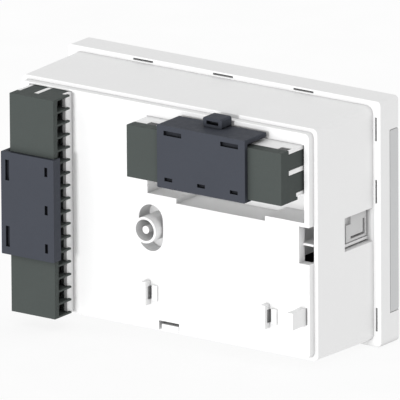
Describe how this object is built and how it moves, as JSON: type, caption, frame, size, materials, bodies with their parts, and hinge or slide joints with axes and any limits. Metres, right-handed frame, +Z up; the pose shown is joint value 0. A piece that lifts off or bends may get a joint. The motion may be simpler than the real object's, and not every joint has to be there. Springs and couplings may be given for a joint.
{
  "type": "wall thermostat",
  "caption": "Panel-mounting room climate controller: white housing with front frame, display, keys and knob, plug-in terminal strips with pull-off covers at the rear, side clamps.",
  "frame": {"origin": "middle of the front frame's rear face, the face that lies against the panel", "axes": "+Y towards the rear and its terminal strips, the operating front faces -Y, +Z up, +X to the user's right"},
  "size_m": [0.144, 0.0778, 0.096],
  "materials": {
    "white_plastic": "fine moulded satin",
    "fascia_grey": "fine moulded satin",
    "clamp_grey": "moulded satin",
    "display_lens": "clear polished",
    "lcd": "polished",
    "diffuser": "satin",
    "circuit_board": "solder mask",
    "zinc_steel": "zinc plated",
    "contact_metal": "dark tin plated",
    "brass": "tin-bright brass",
    "terminal_green_grey": "fine spark-eroded matt",
    "cover_slate": "fine spark-eroded matt",
    "black_plastic": "satin",
    "relay_case": "gloss",
    "transformer_resin": "satin",
    "capacitor_sleeve": "gloss",
    "fuse_glass": "clear",
    "key_plastic": "satin",
    "knob_plastic": "satin"
  },
  "bodies": {
    "housing": {"front_frame": "white_plastic", "rear_housing": "white_plastic", "rear_plate": "white_plastic", "header_17": "white_plastic", "header_14": "white_plastic", "front_fascia": "fascia_grey", "display_window": "display_lens", "lcd_panel": "lcd", "lcd_backlight": "diffuser", "display_board": "circuit_board", "main_board": "circuit_board", "display_screws": "zinc_steel", "board_screws": "zinc_steel", "coin_cell": "zinc_steel", "fuse_clips": "brass", "header_pins_17": "brass", "header_pins_14": "brass", "tact_switches": "black_plastic", "encoder_body": "black_plastic", "battery_holder": "black_plastic", "board_connector": "black_plastic", "microcontroller": "black_plastic", "relays": "relay_case", "transformer": "transformer_resin", "capacitors": "capacitor_sleeve", "fuse": "fuse_glass"},
    "encoder_rotor": {"encoder_rotor": "black_plastic"},
    "knob": {"knob": "knob_plastic", "encoder_shaft": "zinc_steel"},
    "key_1": {"key_1": "key_plastic"},
    "key_2": {"key_2": "key_plastic"},
    "key_3": {"key_3": "key_plastic"},
    "key_4": {"key_4": "key_plastic"},
    "terminal_strip_17": {"terminal_strip_17": "terminal_green_grey", "contacts_17": "contact_metal", "wire_clamps_17": "contact_metal"},
    "terminal_strip_14": {"terminal_strip_14": "terminal_green_grey", "contacts_14": "contact_metal", "wire_clamps_14": "contact_metal"},
    "strip_cover_17": {"strip_cover_17": "cover_slate"},
    "strip_cover_14": {"strip_cover_14": "cover_slate"},
    "panel_clamp_left": {"panel_clamp_left": "clamp_grey"},
    "panel_clamp_right": {"panel_clamp_right": "clamp_grey"},
    "bottom_latch": {"bottom_latch": "white_plastic"}
  },
  "joints": [
    {"name": "knob_turn", "type": "hinge", "parent": "housing", "child": "encoder_rotor", "pos_m": [0.0475, -0.008, 0], "axis": [0, -1, 0], "continuous": true},
    {"name": "knob_press", "type": "slide", "parent": "encoder_rotor", "child": "knob", "axis": [0, 1, 0], "range_m": [0, 0.0005], "stiffness_N_per_m": 1500},
    {"name": "key_1_press", "type": "slide", "parent": "housing", "child": "key_1", "axis": [0, 1, 0], "range_m": [0, 0.0005], "stiffness_N_per_m": 1500},
    {"name": "key_2_press", "type": "slide", "parent": "housing", "child": "key_2", "axis": [0, 1, 0], "range_m": [0, 0.0005], "stiffness_N_per_m": 1500},
    {"name": "key_3_press", "type": "slide", "parent": "housing", "child": "key_3", "axis": [0, 1, 0], "range_m": [0, 0.0005], "stiffness_N_per_m": 1500},
    {"name": "key_4_press", "type": "slide", "parent": "housing", "child": "key_4", "axis": [0, 1, 0], "range_m": [0, 0.0005], "stiffness_N_per_m": 1500},
    {"name": "strip_17_unplug", "type": "slide", "parent": "housing", "child": "terminal_strip_17", "axis": [0, 1, 0], "range_m": [0, 0.015]},
    {"name": "cover_17_pull", "type": "slide", "parent": "terminal_strip_17", "child": "strip_cover_17", "axis": [0, 1, 0], "range_m": [0, 0.015]},
    {"name": "strip_14_unplug", "type": "slide", "parent": "housing", "child": "terminal_strip_14", "axis": [0, 1, 0], "range_m": [0, 0.015]},
    {"name": "cover_14_pull", "type": "slide", "parent": "terminal_strip_14", "child": "strip_cover_14", "axis": [0, 1, 0], "range_m": [0, 0.015]},
    {"name": "clamp_right_slide", "type": "slide", "parent": "housing", "child": "panel_clamp_right", "axis": [-1, 0, 0], "range_m": [0, 0.005]},
    {"name": "clamp_left_slide", "type": "slide", "parent": "housing", "child": "panel_clamp_left", "axis": [1, 0, 0], "range_m": [0, 0.005]},
    {"name": "bottom_latch_slide", "type": "slide", "parent": "housing", "child": "bottom_latch", "axis": [0, 0, 1], "range_m": [0, 0.001], "stiffness_N_per_m": 1500}
  ]
}
